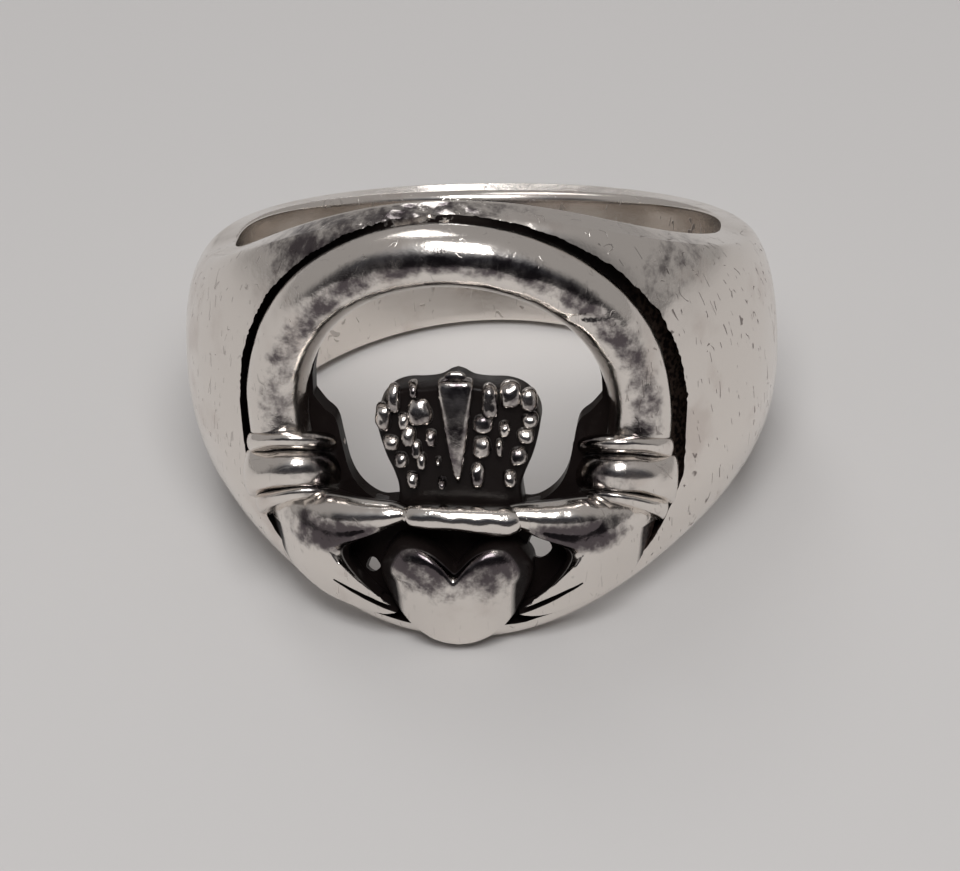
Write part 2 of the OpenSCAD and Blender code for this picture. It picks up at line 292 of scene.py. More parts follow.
hollow = bpy.data.materials.new("cut")
plain = bpy.data.materials.new("plain")


def after(piece, **modifiers):
    """The piece's mesh with modifiers applied, in the order given: TYPE=settings."""
    for kind, settings in modifiers.items():
        m = piece.modifiers.new(kind, kind)
        for key, value in settings.items():
            setattr(m, key, value)
    whole = bpy.context.evaluated_depsgraph_get()
    whole.update()
    mesh = bpy.data.meshes.new_from_object(piece.evaluated_get(whole))
    piece.modifiers.clear()
    piece.data = mesh
    return piece


def carve(piece, tools):
    """Cuts the tools' shapes out of the piece. The new walls get 1 in the attribute recess,
    for the black that lies in them, and the rest 0."""
    piece.data.materials.append(plain)
    for name, grids in tools.items():
        mesh = mesh_of(name, grids)
        mesh.materials.append(hollow)
        tool = linked(mesh)
        after(piece, BOOLEAN={"object": tool, "operation": "DIFFERENCE", "solver": "EXACT",
                              "material_mode": "TRANSFER"})
        bpy.data.objects.remove(tool)
    count = len(piece.data.polygons)
    walls = np.array([m is not None and m.name.startswith("cut") for m in piece.data.materials], float)
    of_face = np.empty(count, np.int32)
    piece.data.polygons.foreach_get("material_index", of_face)
    recess = piece.data.attributes.new("recess", "FLOAT", "FACE")
    recess.data.foreach_set("value", walls[of_face])
    piece.data.polygons.foreach_set("material_index", np.zeros(count, np.int32))


carve(band, {**{name: [grid] for name, grid in cuts.items()}, "pores": pores})


def get_points(mesh):
    """All points of a mesh as an array."""
    p = np.empty(len(mesh.vertices) * 3)
    mesh.vertices.foreach_get("co", p)
    return p.reshape(-1, 3)


def radius(p):
    """Distance of points from the axis of the finger hole."""
    return np.hypot(p[..., 0], p[..., 1])


def give(mesh, name, values):
    """Stores a number at each point of the mesh for its finish to read: `dull` for
    dark grey mottling, wear on the band and painted dark reflection elsewhere, `soot` for black,
    `bared` for where the groove is rubbed bare."""
    mesh.attributes.new(name, "FLOAT", "POINT").data.foreach_set("value", np.array(values, float))


# Wear on the band's face: dull patches at x and z on both shoulders, torn skin along the
# groove, and a place at the top of the groove where its black is rubbed off
shoulders = [[-6.0, 6.6], [7.6, 5.6]]
p = get_points(band.data)
at_face = p[:, 1] < 0
dull = sum(np.exp(-((p[:, 0] - x) / 1.3) ** 2 - ((p[:, 2] - z) / 1.1) ** 2) for x, z in shoulders)
give(band.data, "dull", (0.4 * dull + 0.55 * by_groove(p, 4.6, 0.6)) * at_face * (radius(p) > 9.4))
give(band.data, "bared", np.exp(-((p[:, 0] + 1.2) / 1.5) ** 4) * (p[:, 2] > 7.2) * at_face)


def group(name, inputs, outputs):
    """An empty shader node group with named sockets, and its two ends."""
    tree = bpy.data.node_groups.new(name, "ShaderNodeTree")
    for label, kind in inputs:
        tree.interface.new_socket(label, in_out="INPUT", socket_type="NodeSocket" + kind)
    for label, kind in outputs:
        tree.interface.new_socket(label, in_out="OUTPUT", socket_type="NodeSocket" + kind)
    return tree, tree.nodes.new("NodeGroupInput"), tree.nodes.new("NodeGroupOutput")


def put(tree, kind, settings=(), **links):
    """A node with its settings made and its inputs linked or set. An input is named, with _
    for a space, or numbered, as _0."""
    node = tree.nodes.new(kind)
    for key, value in dict(settings).items():
        setattr(node, key, value)
    for key, value in links.items():
        socket = node.inputs[int(key[1:]) if key[1:].isdigit() else key.replace("_", " ")]
        if isinstance(value, bpy.types.NodeSocket):
            tree.links.new(value, socket)
        else:
            socket.default_value = value
    return node


def mapped(tree, value, low, high, to_low=0.0, to_high=1.0):
    """A value's range mapped smoothly onto another."""
    return put(tree, "ShaderNodeMapRange", {"interpolation_type": "SMOOTHSTEP"}, Value=value,
               From_Min=low, From_Max=high, To_Min=to_low, To_Max=to_high).outputs[0]


def sums(tree, how, a, b=0.0, c=0.0):
    """Arithmetic on values, by the name of the Math node's operation."""
    return put(tree, "ShaderNodeMath", {"operation": how}, _0=a, _1=b, _2=c).outputs[0]


def times(tree, *values):
    """Product of values."""
    whole = values[0]
    for value in values[1:]:
        whole = sums(tree, "MULTIPLY", whole, value)
    return whole


def tinted(tree, a, b, part):
    """Colour a turned into colour b by the share `part`."""
    return put(tree, "ShaderNodeMix", {"data_type": "RGBA"}, _0=part, _6=a, _7=b).outputs[2]


def noise(tree, where, scale, detail, roughness=0.5):
    """Cloudy noise, its patches about 1 / scale metres wide."""
    return put(tree, "ShaderNodeTexNoise", Vector=where, Scale=scale, Detail=detail,
               Roughness=roughness).outputs[0]


# Scratches and dents of wear: short straight strokes in three directions, each only in patches
stroke_rows = [[0.35, 1500.0, 1300.0], [1.25, 1900.0, 1700.0], [2.3, 2600.0, 2100.0]]
strokes, inside, ends = group("fine strokes", [("Where", "Vector"), ("Density", "Float")],
                              [("Strokes", "Float")])
deepest = None
for turn, fine, patches in stroke_rows:
    along = put(strokes, "ShaderNodeMapping", Vector=inside.outputs["Where"],
                Rotation=(0.25, turn, 0.15), Scale=(1.0, 1.0, 0.03)).outputs[0]
    ridge = sums(strokes, "ABSOLUTE", sums(strokes, "SUBTRACT", noise(strokes, along, fine, 0.0), 0.5))
    patch = mapped(strokes, noise(strokes, inside.outputs["Where"], patches, 1.0), 0.617, 0.645)
    line = times(strokes, mapped(strokes, ridge, 0.022, 0.004), patch)
    deepest = line if deepest is None else sums(strokes, "MAXIMUM", deepest, line)
strokes.links.new(times(strokes, deepest, inside.outputs["Density"]), ends.inputs[0])

# Colours of silver: rubbed bright, a little clouded, dark grey for wear and for painted dark
# reflection, and in a scratch. The black of the recesses goes from dense to brown where it is thin.
bright, clouded = (0.84, 0.79, 0.74, 1), (0.672, 0.59645, 0.5476, 1)
wear_and_painted_reflection_grey, scratched = (0.12, 0.102, 0.108, 1), (0.16, 0.13, 0.12, 1)
dense_black, thin_black = (0.011, 0.008, 0.0075, 1), (0.075, 0.052, 0.042, 1)


def silver(name, shine, soot, wear, grain, alone=False, oxide_gleam=0.12):
    """Sterling silver: polished where it is rubbed, blackened where nothing reaches. Shine is
    the roughness of its polish, soot how deep a corner has to be to keep its black, wear the
    amount of scratches, grain the roughness of the cast skin. A piece that stands alone gets
    its corners from itself only, with a ragged edge. The black is a thin oxide, not metal, and
    its gleam is how much it mirrors."""
    m = bpy.data.materials.new(name)
    m.use_nodes = True
    t = m.node_tree
    t.nodes.clear()

    def stored(label):
        """The number that `give` or `carve` stored on the piece under this name."""
        return put(t, "ShaderNodeAttribute", {"attribute_name": label}).outputs["Fac"]

    here = put(t, "ShaderNodeTexCoord").outputs["Object"]
    side = put(t, "ShaderNodeSeparateXYZ", Vector=here).outputs["X"]
    cloudy, grit = noise(t, here, 420.0, 4.0), noise(t, here, 5200.0, 3.0)
    mottle = noise(t, here, 1500.0, 4.0, 0.65)
    density = mapped(t, side, 0.004, 0.008, 0.45 * wear, wear)
    scratches = put(t, "ShaderNodeGroup", {"node_tree": strokes}, Where=here,
                    Density=density).outputs[0]

    corner = put(t, "ShaderNodeAmbientOcclusion", {"samples": 12, "only_local": alone},
                 Distance=0.0007).outputs["AO"]
    ragged = 0.6 if alone else 0.22
    depth = sums(t, "ADD", corner, sums(t, "MULTIPLY_ADD", grit, ragged, -ragged / 2))
    bare = mapped(t, sums(t, "ADD", times(t, stored("bared"), 0.4), mottle), 0.84, 0.94, 1.0, 0.0)
    cut = times(t, stored("recess"), bare)
    black = sums(t, "MAXIMUM", mapped(t, depth, soot, soot - 0.22), cut)
    black = sums(t, "MAXIMUM", black, stored("soot"))

    skin = tinted(t, bright, clouded, mapped(t, cloudy, 0.55, 0.72, 0.0, 0.6))
    # Dark grey mottling: wear on the band, painted dark reflection on the arch, cuffs, hands, heart,
    # beads and wedge
    dull = stored("dull")
    patchy = mapped(t, sums(t, "ADD", times(t, dull, 0.6), mottle), 0.6, 1.0)
    skin = tinted(t, skin, wear_and_painted_reflection_grey, times(t, mapped(t, dull, 0.0, 0.25), patchy))
    skin = tinted(t, skin, scratched, times(t, scratches, 0.75))
    thin = times(t, mapped(t, grit, 0.38, 0.62), mapped(t, side, 0.0055, 0.0072))
    colour = tinted(t, skin, tinted(t, dense_black, thin_black, thin), black)

    gloss = mapped(t, cloudy, 0.3, 0.75, shine, shine + 0.12)
    gloss = sums(t, "ADD", gloss, times(t, scratches, 0.25))
    gloss = sums(t, "ADD", gloss, times(t, black, 0.15))
    uneven = sums(t, "ADD", times(t, grit, grain), times(t, mottle, 4.0 * grain))
    height = sums(t, "SUBTRACT", uneven, times(t, scratches, 0.8))
    bump = put(t, "ShaderNodeBump", Strength=0.5, Distance=0.00003, Height=height).outputs[0]
    bsdf = put(t, "ShaderNodeBsdfPrincipled", Base_Color=colour, Roughness=gloss, Normal=bump,
               Metallic=sums(t, "SUBTRACT", 1.0, black), Specular_IOR_Level=oxide_gleam)
    put(t, "ShaderNodeOutputMaterial", Surface=bsdf.outputs[0])
    return m


def laid_down(p):
    """Ring's own frame to the floor's: turned back about X by the lean, then lifted, so
    y' = y cos + z sin, z' = z cos - y sin, in metres from the middle of the finger hole."""
    y = p[:, 1] * lean_cos + p[:, 2] * lean_sin
    z = p[:, 2] * lean_cos - p[:, 1] * lean_sin
    return np.stack([p[:, 0], y, z], -1) / 1000 + hole_middle


def finished(piece, coat, edge_angle=180):
    """Lays the piece on the floor with the rest, smooth but for edges over the angle, gives
    it its finish and says what it stands for."""
    mesh = piece.data
    mesh.vertices.foreach_set("co", laid_down(get_points(mesh)).ravel())
    mesh.shade_smooth()
    mesh.set_sharp_from_angle(angle=np.radians(edge_angle))
    mesh.update()
    mesh.materials.clear()
    mesh.materials.append(coat)
    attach(piece, "root")
    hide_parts("ring")


finished(band, silver("band silver", 0.13, 0.40, 1.0, 0.15, alone=True, oxide_gleam=0.02), 40)

# Arch. The arms are one round bar, cast on with its legs in the cuffs. Its front is rubbed,
# with a painted dark reflection mottled along the middle, and a nick on the right shoulder.
nick_x, nick_z, nick_deep, nick_wide, nick_high = 4.9, 4.75, 0.16, 0.5, 0.13
face_r = 11


def squared(a, k):
    """cos and sin of a raised to the power k, signs kept: below 1 a circle grows corners."""
    return (np.sign(f(a)) * np.abs(f(a)) ** k for f in (np.cos, np.sin))


def swollen(p, push, along=0.0):
    """Points moved away from the finger by about `push`: p (1 + push / the face's radius). A
    share `along` of that goes to z."""
    return p * (1 + (push / face_r)[..., None] * [1, 1, along])


def tube(path, run, wide, high, n=40, square=1.0, deep=np.inf):
    """Rounded bar along a path that goes along `run`: each section is an ellipse, wide across
    and high away from the finger, with cos and sin raised to the power `square`. Inward it
    goes no deeper than `deep`."""
    out = path * [1, 1, 0] / np.linalg.norm(path[:, :2], axis=1)[:, None]
    across = np.cross(out, run)
    across /= np.linalg.norm(across, axis=1)[:, None]
    c, s = squared(np.linspace(0, 2 * np.pi, n, endpoint=False), square)
    rise = np.maximum(high[:, None] * s, -deep)
    sideways = across[:, None] * (wide[:, None] * c)[..., None]
    return path[:, None] + sideways + out[:, None] * rise[..., None]


def arch_grid():
    """Round bar along a circle on the face, from leg to leg, its thickness waving by 1.2 in
    100 with sin(3 a), both ends drawn to a point inside the cuffs."""
    a = np.radians(np.linspace(-14, 194, 180))
    thick = arch_bar * (1 + 0.012 * np.sin(3 * a + 0.6))
    thick[[0, -1]] = 0
    path = on_face(arch_r * np.cos(a), arch_z + arch_r * np.sin(a), ground_r + arch_bar / 2)
    g = tube(path, np.gradient(path, axis=0), thick, thick, 56)
    nick = ((g[..., 0] - nick_x) / nick_wide) ** 2 + ((g[..., 2] - nick_z) / nick_high) ** 2
    nick = np.exp(-nick) * (g[..., 1] < -10)
    push = cast_lumps(g, 21, (0.022, 2.6), (0.008, 0.9))
    return turned(swollen(g, push - nick_deep * nick), askew)


arch = linked(mesh_of("arch", [arch_grid()]))

# Painted dark reflection on the arch: a dark mottled stripe along its top, stronger on the legs, and
# one along its front
p = get_points(arch.data)
off = (np.hypot(p[:, 0], p[:, 2] - arch_z) - arch_r - 0.1) / 0.62
leg = np.clip((6.2 - p[:, 2]) / 2.5, 0, 1) * (p[:, 1] < 0)
front = np.exp(-((off + 0.16) / 0.62) ** 4) * np.clip((p[:, 2] - 2.5) / 2.5, 0, 1)
# worn is the share of painted dark reflection at each point
worn = np.maximum(0.55 * leg, 0.4) * np.exp(-off**4) + 0.3 * front
give(arch.data, "dull", worn * (radius(p) > 10.6))
finished(arch, silver("arch silver", 0.12, 0.34, 0.7, 0.25))

# Cuffs. Each wrist has three silver bands, thin, thick and thin, cast over the arm. Their
# inner ends stand free over the window and the outer ends run together.

# A row for each band: its centre as a share of the reach and a level, then its length,
# thickness and rise as shares, and its turn in degrees
cuff_rows = [[0.742, 0.462, 0.93, 0.11, 0.965, 15.5],
             [0.747, 0.095, 1, 0.232, 1, 18],
             [0.728, -0.14, 0.91, 0.1, 0.87, 23]]
cuff_long, cuff_rise, cuff_deep, cuff_lift = arch_bar + 0.75, 2.3, 0.8, -22
cuff_root = ground_r - 0.15


def rolled(p, i, j, degrees):
    """Points turned in the plane of two axes: i' = i cos - j sin, j' = i sin + j cos."""
    c, s = np.cos(np.radians(degrees)), np.sin(np.radians(degrees))
    q = p.copy()
    q[..., i], q[..., j] = p[..., i] * c - p[..., j] * s, p[..., i] * s + p[..., j] * c
    return q


def cuff_grid(x, z, long, thick, rise, turn):
    """Band over the wrist: sections along z from -1 to 1, each an oval that is `long` across
    and `rise` high, with cos and sin to the power 0.75. The edges are rounded off by
    sqrt(1 - q^2), less at the outer end, which is thicker, where the bands meet."""
    q = np.sin(np.linspace(-np.pi / 2, np.pi / 2, 21))[:, None]
    c, s = squared(np.linspace(0, 2 * np.pi, 72, endpoint=False)[None], 0.75)
    outer = np.clip(c, 0, 1)
    size = 1 - (0.30 - 0.25 * outer) * (1 - np.sqrt(np.abs(1 - q**2)))
    g = np.stack([long * size * c, np.where(s > 0, cuff_deep, rise) * size * s,
                  thick * q * (1 + 0.30 * outer**2)], -1)
    g = np.concatenate([g[:1] * [0, 0, 1], g, g[-1:] * [0, 0, 1]])
    g = rolled(rolled(g, 0, 2, -turn), 1, 2, cuff_lift)
    return turned(g + [0, -cuff_root, z], np.arcsin(x / cuff_root))


cuffs = []
for i, (x, z, long, thick, rise, turn) in enumerate(cuff_rows):
    g = cuff_grid(x * reach, float(level(z)), long * cuff_long, thick * wrist_h, rise * cuff_rise, turn)
    for side in (1, -1):
        h = g * [side, 1, 1]
        h = swollen(h, 0.035 * ripple(h, 1.3, 31 + i) + 0.012 * ripple(h, 0.5, 41 + i), 0.4)
        clear = np.maximum(1, (hole_r + 0.15) / radius(h))
        cuffs.append(turned(h * (1 + (clear - 1)[..., None] * [1, 1, 0]), askew))
cuff_piece = linked(mesh_of("cuffs", cuffs))
# Painted dark reflection: dark grey mottling on the upper part of the bands' inner ends
p = get_points(cuff_piece.data)
inner_end = np.clip((6.7 - np.abs(p[:, 0])) / 1.4, 0, 1) * np.clip((p[:, 2] + 2.9) / 0.6, 0, 1)
give(cuff_piece.data, "dull", 0.6 * inner_end)
finished(cuff_piece, silver("cuff silver", 0.12, 0.34, 0.4, 0.25), 60)

# Hands. Cast silver, each with a broad palm that narrows into two fingers along the lower
# rim, and a thumb that runs up to the crown's bar. A black slit parts the two fingers.
hand_rise, hand_edge = 1.75, 0.75

# The palm's outline and highest place, as shares of the reach and the level
hand_outline = [[0.256, -0.037], [0.359, -0.019], [0.487, -0.009], [0.615, 0.03], [0.80, 0.02],
                [0.905, -0.065], [0.925, -0.196], [0.885, -0.411], [0.815, -0.589], [0.692, -0.708],
                [0.577, -0.766], [0.423, -0.813], [0.321, -0.809], [0.282, -0.77], [0.36, -0.70],
                [0.42, -0.625], [0.47, -0.54], [0.51, -0.43], [0.505, -0.336], [0.44, -0.25],
                [0.359, -0.175], [0.282, -0.125], [0.256, -0.037]]
palm_top, palm_powers = (0.63, -0.3), (1.2, 2.2, 3.6)

# Thumb and slit: share of the reach, level, half width and height as shares of the hand's rise
thumb_rows = [[0.237, -0.032, 0.17, 0.23], [0.282, -0.037, 0.25, 0.31], [0.359, -0.056, 0.31, 0.37],
              [0.436, -0.075, 0.36, 0.42], [0.513, -0.093, 0.42, 0.45], [0.59, -0.112, 0.46, 0.43],
              [0.667, -0.131, 0.42, 0.36]]
slit_rows = [[0.577, -0.574, 0.031, 0.2], [0.5, -0.632, 0.056, 0.44], [0.423, -0.686, 0.069, 0.5],
             [0.346, -0.738, 0.069, 0.5], [0.282, -0.776, 0.063, 0.5]]


def in_mm(rows, side):
    """A hand's table in millimetres, on the right side or mirrored to the left."""
    return np.array([[w[0] * reach * side, float(level(w[1]))] + [k * hand_rise for k in w[2:]]
                     for w in rows])


def strand(table, r, n=40, square=1.0, deep=np.inf):
    """Bar along the face from a table of x, z, half width and height, its middle line at the
    distance r from the hole's axis. At each end the last section shrinks by a quarter circle
    while it slides out by 0.6 of its half width."""
    w, k = through(table, 10), 6
    shrink, slide = (f(np.linspace(0, np.pi / 2, k + 1))[:-1] for f in (np.sin, np.cos))
    path = on_face(w[:, 0], w[:, 1], r)
    run = np.gradient(path, axis=0)
    w, path, run = (np.concatenate([np.repeat(v[:1], k, 0), v, np.repeat(v[-1:], k, 0)])
                    for v in (w, path, run))
    run /= np.linalg.norm(run, axis=1)[:, None]
    middle = np.ones(len(w) - 2 * k)
    size = np.concatenate([shrink, middle, shrink[::-1]])
    slide = np.concatenate([-slide, 0 * middle, slide[::-1]])
    path = path + run * (slide * w[:, 2] * 0.6)[:, None]
    return tube(path, run, w[:, 2] * size, w[:, 3] * size, n, square, deep)


def puffed(edge, middle, foot, rise, powers, sunk=0.55, shells=32):
    """Cushion over the ground: its outline is drawn in towards the middle by q while it rises
    from `foot` by rise (1 - q^p). The power p is the lowest of the three towards the bottom
    of the outline, the second at its sides and the third towards its top, so that the
    cushion falls away slowly below and stays full above."""
    way = edge[:, 1] - middle[1]
    up = np.where(way > 0, way / way.max(), -way / way.min())
    low, side, high = powers
    power = side + np.where(up > 0, (high - side) * up, (side - low) * up)
    q = np.cos(np.linspace(0, np.pi / 2, shells))[:, None]
    steps = [(0, -sunk), (0.6, -sunk), (1, -sunk), (1, 0)]
    rows_of = [on_face(*(middle + (edge - middle) * k).T, ground_r + h) for k, h in steps]
    height = foot + rise * (1 - q**power)
    flat = middle + (edge - middle) * q[..., None]
    return np.concatenate([rows_of, on_face(flat[..., 0], flat[..., 1], ground_r + height)])


def over_band(p):
    """How far points stand above the band's domed skin: r - rim - rise (1 - |s|^2.4)^0.6."""
    s = np.abs(p[:, 2]) / around("low", np.arctan2(p[:, 0], -p[:, 1]))
    wall, dome = band_sizes["wall"][0], band_sizes["dome"][0]
    return radius(p) - hole_r - wall - dome * domed(np.minimum(s, 1))


hand_silver = silver("hand silver", 0.13, 0.12, 0.6, 0.2)
for side, name in ((1, "hand_right"), (-1, "hand_left")):
    edge, middle = through(in_mm(hand_outline, side), 8)[:-1], in_mm([palm_top], side)[0]
    palm = puffed(edge, middle, hand_edge, hand_rise - 0.15 - hand_edge, palm_powers)
    thumb = strand(in_mm(thumb_rows, side), ground_r + 0.48 * hand_rise, deep=0.9)
    hand = after(linked(mesh_of(name, [palm, thumb])), REMESH={"mode": "VOXEL", "voxel_size": 0.055},
                 SMOOTH={"factor": 0.5, "iterations": 12})
    p = get_points(hand.data)
    p = swollen(p, cast_lumps(p, 51, (0.02, 1.7), (0.008, 0.6)))
    hand.data.vertices.foreach_set("co", p.ravel())
    carve(hand, {"slit": [strand(in_mm(slit_rows, side), ground_r + 0.55 * hand_rise, 16)]})
    p = get_points(hand.data)
    x, r = np.abs(p[:, 0]), radius(p)

    # Painted dark reflection under the thumb, black in the corner above it and where the fingers meet
    # the band
    under_thumb = np.exp(-((x - 4.4) / 1.8) ** 4 - ((p[:, 2] + 3.7) / 0.72) ** 4)
    give(hand.data, "dull", 0.9 * under_thumb * (r > 10.7))
    above = np.clip((11.05 - r) / 0.15, 0, 1) * np.clip((p[:, 2] + 2.95) / 0.1, 0, 1) * (x < 4.8)
    below = np.clip(1 - (over_band(p) - 0.05) / 0.06, 0, 1) * (p[:, 2] < -4)
    give(hand.data, "soot", np.maximum(above, below))

    hand.data.vertices.foreach_set("co", turned(p, askew).ravel())
    finished(hand, hand_silver, 50)
for spare in (hollow, plain):
    bpy.data.materials.remove(spare)

# Heart. A cast silver cushion with round lobes, a creased notch and a blunt tip over the
# lower rim. Its upper part carries a painted dark reflection, it is polished below, and black where it
# meets the band.
heart_half, heart_h, heart_rise = 2.8, 4.2, 1.55
heart_top = -crown_foot - 1.2

# Half of the outline from the notch to the tip: shares of the half width and of the height
heart_rows = [[0, 0.735], [0.17, 0.86], [0.32, 0.947], [0.49, 1], [0.65, 1], [0.8, 0.955],
              [0.96, 0.8], [1, 0.7], [0.985, 0.62], [0.92, 0.51], [0.79, 0.335], [0.62, 0.185],
              [0.42, 0.08], [0.21, 0.02], [0, 0]]
right = through([[w[0] * heart_half, heart_top + (w[1] - 1) * heart_h] for w in heart_rows], 8)
edge = np.concatenate([right, right[1:-1][::-1] * [-1, 1]])
middle = np.array([0, heart_top - 0.38 * heart_h])
grid = puffed(edge, middle, 0.48 * heart_rise, 0.52 * heart_rise, (1.25, 2.0, 8.0))
heart = after(linked(mesh_of("heart", [turned(grid, askew)])),
              REMESH={"mode": "VOXEL", "voxel_size": 0.06}, SMOOTH={"factor": 0.5, "iterations": 9})
p = get_points(heart.data)
# Painted dark reflection, full on the upper part and gone towards the tip
give(heart.data, "dull", 0.8 * np.clip((p[:, 2] + 6.5) / 1.7, 0, 1))
give(heart.data, "soot", np.clip(1 - (over_band(p) - 0.06) / 0.08, 0, 1))
p = swollen(p, cast_lumps(p, 61, (0.018, 1.9), (0.006, 0.7)))
heart.data.vertices.foreach_set("co", p.ravel())
finished(heart, silver("heart silver", 0.12, 0.04, 0.4, 0.15))

# Crown. A cast silver plate that stands up from the hands into the window, blackened all
# over, with polished beads in columns on it.
crown_h, crown_half = 5.05, 2.95
plate_r, plate_back = ground_r + 0.6, hole_r + 0.03

# Half of the plate's outline from the top down: shares of the half width and of the height
crown_rows = [[0, 1], [0.08, 0.985], [0.2, 0.945], [0.373, 0.925], [0.61, 0.911], [0.797, 0.861],
              [0.942, 0.762], [1, 0.644], [0.969, 0.515], [0.898, 0.376], [0.803, 0.248],
              [0.753, 0.129], [0.78, -0.03]]

# Its edge from back to front: share of the outline, distance from the hole's axis
plate_steps = [[0, plate_back], [0.5, plate_back], [0.97, plate_back], [1, plate_back + 0.06],
               [1, 10.0], [1, 10.42], [0.985, 10.55], [0.955, 10.63],
               [0.92, plate_r], [0.7, plate_r], [0.35, plate_r], [0, plate_r]]
right = through([[w[0] * crown_half, -crown_foot + w[1] * crown_h] for w in crown_rows], 8)
edge = np.concatenate([right, right[1:][::-1] * [-1, 1]])
g = np.array([on_face(edge[:, 0] * q, edge[:, 1] * q, r) for q, r in plate_steps])
uneven_front = np.linalg.norm(g[..., :2], axis=-1) > 10
g = swollen(g, 0.012 * ripple(g, 0.8, 71) * uneven_front)
plate = linked(mesh_of("crown_plate", [g]))
give(plate.data, "soot", np.ones(len(plate.data.vertices)))
finished(plate, silver("crown black", 0.16, 0.40, 0.0, 0.5), 60)

# Beads: x, z, half width, half height, each cast a little uneven
bead_rows = [
    [-2.26, 1.57, 0.22, 0.50], [-2.66, 0.83, 0.28, 0.46], [-2.41, -0.11, 0.28, 0.26],
    [-2.06, -0.75, 0.26, 0.26], [-1.68, -1.50, 0.24, 0.30], [-1.53, 2.02, 0.16, 0.24],
    [-1.31, 1.12, 0.43, 0.46], [-1.93, 0.79, 0.20, 0.26], [-1.76, 0.21, 0.26, 0.36],
    [-1.49, -0.27, 0.20, 0.30], [-1.32, -0.72, 0.20, 0.28], [-0.93, 0.16, 0.21, 0.30],
    [-0.70, -0.67, 0.10, 0.10], [-0.59, -1.56, 0.15, 0.16],
    [1.20, 1.50, 0.30, 0.60], [0.95, 0.73, 0.37, 0.30], [0.87, -0.16, 0.32, 0.36],
    [0.69, -1.28, 0.24, 0.46], [1.93, 1.77, 0.37, 0.44], [1.71, 0.51, 0.20, 0.28],
    [1.51, -0.22, 0.13, 0.30], [2.58, 1.52, 0.28, 0.40], [2.60, 0.78, 0.28, 0.26],
    [2.44, 0.18, 0.30, 0.26], [2.16, -0.58, 0.31, 0.30], [1.85, -1.45, 0.24, 0.28],
]
bead_rise = 0.40


def bead_grid(x, z, half, tall, seed):
    """Bead: a dome on the plate from pole to pole, its sections cos and sin to the power 0.75,
    its width sin^0.8, hanging a little forward and lumpy."""
    u = np.linspace(0, np.pi, 15)[:, None]
    c, s = squared(np.linspace(0, 2 * np.pi, 24, endpoint=False)[None], 0.75)
    out = bead_rise * np.cos(u)
    wide = 1.12 * np.sin(u) ** 0.8
    g = np.stack([half * wide * c, -out + 0 * c, tall * wide * s - 0.3 * np.clip(out, 0, 1)], -1)
    g = g * (1 + 0.09 * ripple(g + [seed, 0, 0], 0.6, 80 + seed))[..., None]
    return g + on_face(np.array([x]), np.array([z]), plate_r - 0.06)


beads = linked(mesh_of("crown_beads", [bead_grid(*row, i) for i, row in enumerate(bead_rows)]))
# Painted dark reflection, mottled, the same share on every bead
give(beads.data, "dull", np.full(len(beads.data.vertices), 0.5))
finished(beads, silver("bead silver", 0.11, 0.46, 0.2, 0.3))

# Wedge. A polished, squared bar down the middle of the crown, broad at its top, cast on, with
# a mottled painted dark reflection all over: z, half width, height.
wedge_rows = [[2.42, 0.40, 0.14], [2.28, 0.62, 0.36], [1.9, 0.64, 0.48], [1.0, 0.51, 0.62],
              [-0.2, 0.34, 0.70], [-1.15, 0.17, 0.52], [-1.6, 0.05, 0.2]]
g = strand([[0, z, w, h] for z, w, h in wedge_rows], plate_r - 0.1, 36, 0.55)
wedge = linked(mesh_of("crown_wedge", [g]))
# Painted dark reflection, the same share all over the wedge
give(wedge.data, "dull", np.full(len(wedge.data.vertices), 0.55))
finished(wedge, silver("wedge silver", 0.12, 0.40, 0.3, 0.3), 40)

# Bar at the crown's foot. Cast on where the thumbs meet, lumpy at its right end and a little
# askew: x, z, half width, height.
bar_rows = [[-1.9, -2.8, 0.30, 0.36], [-1.5, -2.8, 0.47, 0.52], [0, -2.83, 0.50, 0.55],
            [1.4, -2.98, 0.58, 0.6], [2.0, -3.0, 0.50, 0.52], [2.25, -3.0, 0.3, 0.36]]
g = strand(bar_rows, ground_r + 0.95)
foot_bar = linked(mesh_of("crown_bar", [swollen(g, 0.03 * ripple(g, 0.9, 91))]))
finished(foot_bar, silver("bar silver", 0.11, 0.22, 0.2, 0.3))

# Table top under the ring: pale, smooth and matt. Far in front of the ring, outside the view,
# it is painted dark with the distance in metres, a painted shade that the arch and the heart mirror.
floor_half = 1.2
pale, dark = (0.60, 0.585, 0.577, 1), (0.035, 0.033, 0.036, 1)
floor_mesh = bpy.data.meshes.new("floor")
corners = ((-1, -1), (1, -1), (1, 1), (-1, 1))
floor_mesh.from_pydata([(x * floor_half, y * floor_half, 0) for x, y in corners], [], [(0, 1, 2, 3)])
floor = linked(floor_mesh)
stone = bpy.data.materials.new("pale top")
stone.use_nodes = True
t = stone.node_tree
place = put(t, "ShaderNodeTexCoord").outputs["Object"]
centre = put(t, "ShaderNodeVectorMath", {"operation": "SUBTRACT"}, _0=place, _1=(0, 0.01, 0)).outputs[0]
far = put(t, "ShaderNodeVectorMath", {"operation": "LENGTH"}, _0=centre).outputs["Value"]
in_front = put(t, "ShaderNodeSeparateXYZ", Vector=place).outputs["Y"]
far_painted_shade = times(t, mapped(t, far, 0.07, 0.13), mapped(t, in_front, -0.03, -0.07))
top = t.nodes["Principled BSDF"]
top.inputs["Roughness"].default_value = 0.6
t.links.new(tinted(t, pale, dark, far_painted_shade), top.inputs["Base Color"])
floor.data.materials.append(stone)

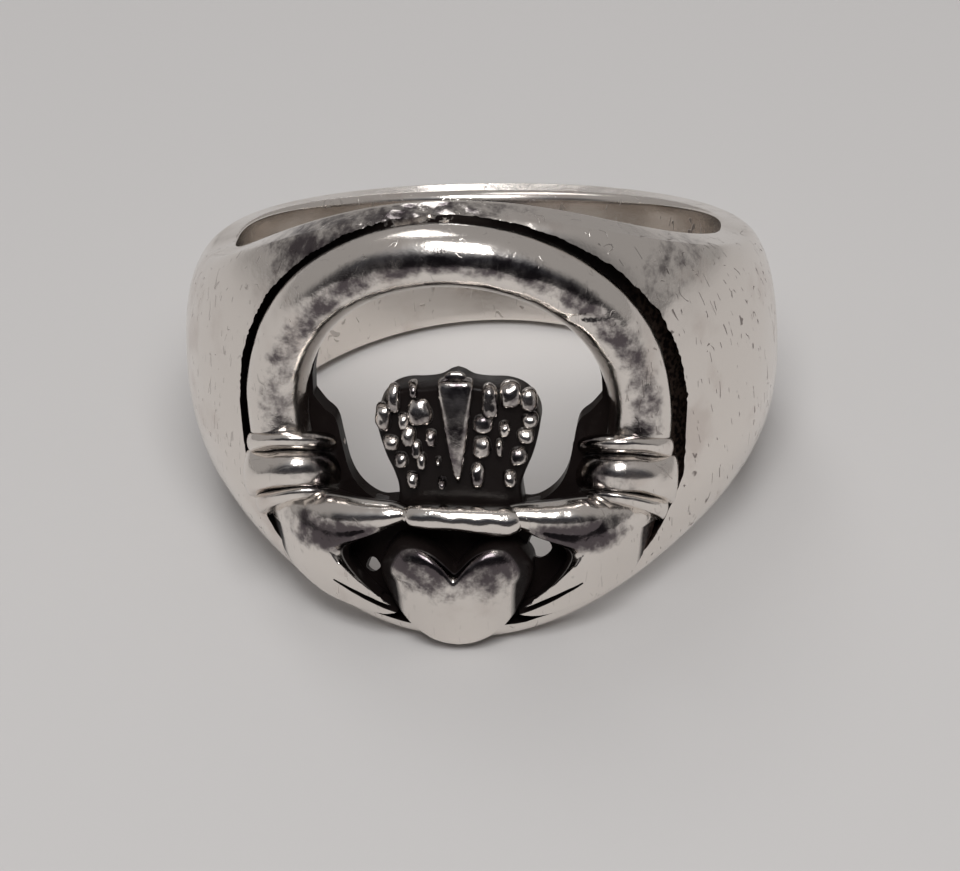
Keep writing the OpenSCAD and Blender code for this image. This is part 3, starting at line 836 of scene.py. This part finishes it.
# Camera at the photograph's angle, above the face and a little to its right. The view was
# solved from the ring's outline, rims and window, in degrees and metres.
elevation, azimuth, roll = np.radians((36.972, 6.275, -3.546))
distance, aim = 0.140018, Vector((-0.000301, hole_middle[1], 0.000565))
back = Vector((np.cos(elevation) * np.sin(azimuth), -np.cos(elevation) * np.cos(azimuth),
               np.sin(elevation)))
right = (-back).cross(Vector((0, 0, 1))).normalized()
up = right.cross(-back)
right, up = (right * np.cos(roll) + up * np.sin(roll), up * np.cos(roll) - right * np.sin(roll))
view = Matrix((right, up, back)).transposed().to_4x4()
view.translation = back * distance + aim
camera = bpy.data.objects.new("camera", bpy.data.cameras.new("camera"))
camera.data.sensor_width, camera.data.lens, camera.data.clip_start = 36, 132.78, 0.005
camera.matrix_world = view
bpy.context.scene.collection.objects.link(camera)
bpy.context.scene.camera = camera

# Studio light: a plain grey room that is dark low down in front of the ring, and soft square
# lamps in front, overhead and behind. The rows are the front's height and colour.
room_rows = [[0.0, (0.055, 0.052, 0.054, 1)], [0.5, (0.026, 0.027, 0.034, 1)],
             [0.78, (0.27, 0.275, 0.29, 1)], [1.0, (0.36, 0.365, 0.38, 1)]]
room_behind = (0.31, 0.30, 0.295, 1)
room = bpy.data.worlds.new("room")
room.use_nodes = True
bpy.context.scene.world = room
t = room.node_tree
t.nodes.clear()
way = put(t, "ShaderNodeSeparateXYZ", Vector=put(t, "ShaderNodeTexCoord").outputs["Generated"])
shade = put(t, "ShaderNodeValToRGB", Fac=way.outputs["Z"])
stops = shade.color_ramp.elements
stops[0].color, stops[1].color = room_rows[0][1], room_rows[-1][1]
for at, colour in room_rows[1:-1]:
    stops.new(at).color = colour
behind = mapped(t, way.outputs["Y"], -0.6, -0.15)
colour = tinted(t, shade.outputs[0], room_behind, behind)
light = put(t, "ShaderNodeBackground", Color=colour, Strength=1.0)
put(t, "ShaderNodeOutputWorld", Surface=light.outputs[0])

# Lamps: name, place, aim, width and length in metres, watts
lamp_rows = [
    ["front light", (0.03, -0.17, 0.34), (0, 0, 0), (0.20, 0.19), 0.92],
    ["over light", (-0.175, 0.30, 0.60), (0, 0, 0), (0.19, 0.4), 0.6],
    ["back light", (-0.034, 0.51, 0.075), (0, 0, 0.005), (0.013, 0.03), 0.009],
    ["low back light", (-0.010, 0.51, 0.075), (0, 0, 0.005), (0.013, 0.02), 0.002],
]
for name, at, aim, size, watts in lamp_rows:
    lamp = bpy.data.lights.new(name, "AREA")
    lamp.shape, lamp.size, lamp.size_y, lamp.energy = "RECTANGLE", *size, watts
    lit = bpy.data.objects.new(name, lamp)
    lit.location = at
    lit.rotation_euler = (Vector(aim) - Vector(at)).to_track_quat("-Z", "Y").to_euler()
    bpy.context.scene.collection.objects.link(lit)
bpy.context.scene.view_settings.view_transform = "Standard"
